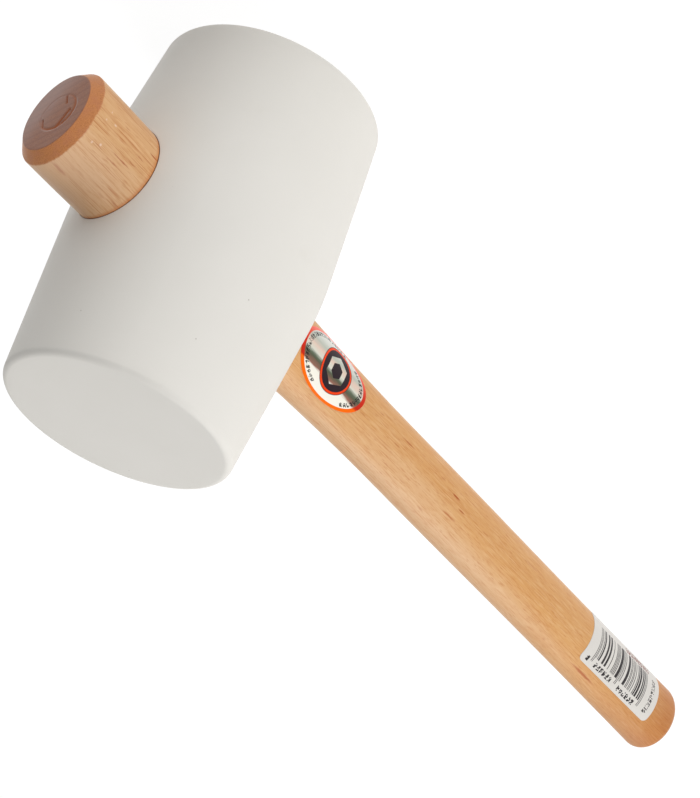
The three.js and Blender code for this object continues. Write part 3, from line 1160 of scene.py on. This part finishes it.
def paper_material():
    """A white paper sticker, printed with made-up bars and rows of unreadable marks."""
    shader = Shader("printed_paper")
    along, around = print_place(shader)
    speckle = shader.noise(shader.place(1.5), 3, 0.6)
    paper = shader.mix(speckle, PAPER_LIGHT, PAPER_DARK)
    rows = [marks(shader, along, around, *row) for row in DIGIT_ROWS]
    rows.append(marks(shader, around, along, *END_ROW))
    ink = shader.most((bars(shader, along, around), *rows))
    colour = shader.mix(ink, paper, PAPER_INK)
    heading = marks(shader, along, around, *HEADING_ROW)
    colour = shader.mix(shader.times(heading, 0.95), colour, PAPER_HEADING)
    shader.set(
        Base_Color=colour,
        Roughness=shader.step(ink, 0, 1, 0.5, 0.42),
        Normal=shader.bump(speckle, 0.01 * MM, 0.4),
        Specular_IOR_Level=0.35,
    )
    return shader.owner


# ---------- studio
# The camera's angles in degrees, its place to the right of, above and back from the head's
# middle, and its lens and sensor in millimetres
CAMERA_AZIMUTH = 43.3
CAMERA_ELEVATION = 26.2
CAMERA_ROLL = -156.8
CAMERA_PLACE = (0.0513, -0.048, 0.728)
CAMERA_LENS = 98
CAMERA_SENSOR = 36

LIGHT_DISTANCE = 1.3
LIGHT_SIZE = 0.8
WORLD_SEEN = 1.05
WORLD_FILL = 0.34
FLOOR_HALF_SIZE = 4.0
FLOOR_PAINT = (0.82, 0.82, 0.82, 1)
FLOOR_GLOW = 1.2
GLOW_SHARE_SEEN = 0.75
GLOW_SHARE_FILL = 0.3


def make_camera():
    """The mallet is seen with its head turned over, so the camera is rolled most of the way
    round. It looks past the head's middle, so that the handle is in view as well."""
    data = bpy.data.cameras.new("camera")
    data.lens = CAMERA_LENS
    data.sensor_width = CAMERA_SENSOR
    data.clip_start = 0.01
    camera = add_object("camera", data)
    turned = Matrix.Translation(MIDDLE)
    for degrees, axis in ((CAMERA_AZIMUTH, "Z"), (90 - CAMERA_ELEVATION, "X"), (CAMERA_ROLL, "Z")):
        turned @= Matrix.Rotation(math.radians(degrees), 4, axis)
    camera.matrix_world = turned @ Matrix.Translation(CAMERA_PLACE)
    bpy.context.scene.camera = camera


def soft_light(name, towards, power):
    """A square soft box in a direction from the mallet, turned to face it. Power in watts."""
    data = bpy.data.lights.new(name, "AREA")
    data.size = LIGHT_SIZE
    data.energy = power
    light = add_object(name, data)
    towards = Vector(towards).normalized()
    light.location = MIDDLE + towards * LIGHT_DISTANCE
    light.rotation_mode = "QUATERNION"
    light.rotation_quaternion = towards.to_track_quat("Z", "Y")
    light.visible_camera = False


def make_world():
    """An even white surround, brighter where it is seen or reflected than where it fills."""
    world = Shader("studio", bpy.data.worlds)
    bpy.context.scene.world = world.owner
    path = world.node("ShaderNodeLightPath").outputs["Is Diffuse Ray"]
    background = world.tree.nodes["Background"].inputs
    world.feed(background["Color"], (1, 1, 1, 1))
    world.feed(background["Strength"], world.step(path, 0, 1, WORLD_SEEN, WORLD_FILL))


def floor_material():
    """Pale paint with a glow, so that only a faint contact shadow shows. The glow is weaker
    where it lights other things than where it is seen."""
    shader = Shader("floor")
    path = shader.node("ShaderNodeLightPath").outputs["Is Diffuse Ray"]
    share = shader.step(path, 0, 1, GLOW_SHARE_SEEN, GLOW_SHARE_FILL)
    paint = shader.node("ShaderNodeBsdfDiffuse", {"Color": FLOOR_PAINT}).outputs[0]
    glow = shader.node("ShaderNodeEmission", {"Strength": FLOOR_GLOW}).outputs[0]
    both = shader.node("ShaderNodeMixShader", {0: share, 1: paint, 2: glow}).outputs[0]
    shader.feed(shader.tree.nodes["Material Output"].inputs["Surface"], both)
    return shader.owner


def make_floor():
    """A plain pale floor, wide enough to fill the view."""
    half = FLOOR_HALF_SIZE
    corners = [(-half, -half, 0), (half, -half, 0), (half, half, 0), (-half, half, 0)]
    mesh = bpy.data.meshes.new("floor")
    mesh.from_pydata(corners, [], [(0, 1, 2, 3)])
    floor = add_object("floor", mesh)
    mesh.materials.append(floor_material())


make_head(rubber_material())
make_handle(beech_material())
make_round_label(foil_material())
make_barcode_label(paper_material())

make_camera()
make_world()
make_floor()
soft_light("key", (0.05, -1, 0.06), 9.4)
soft_light("overhead", (-0.56, 0.02, 0.82), 8.8)
bpy.context.scene.view_settings.view_transform = "Standard"
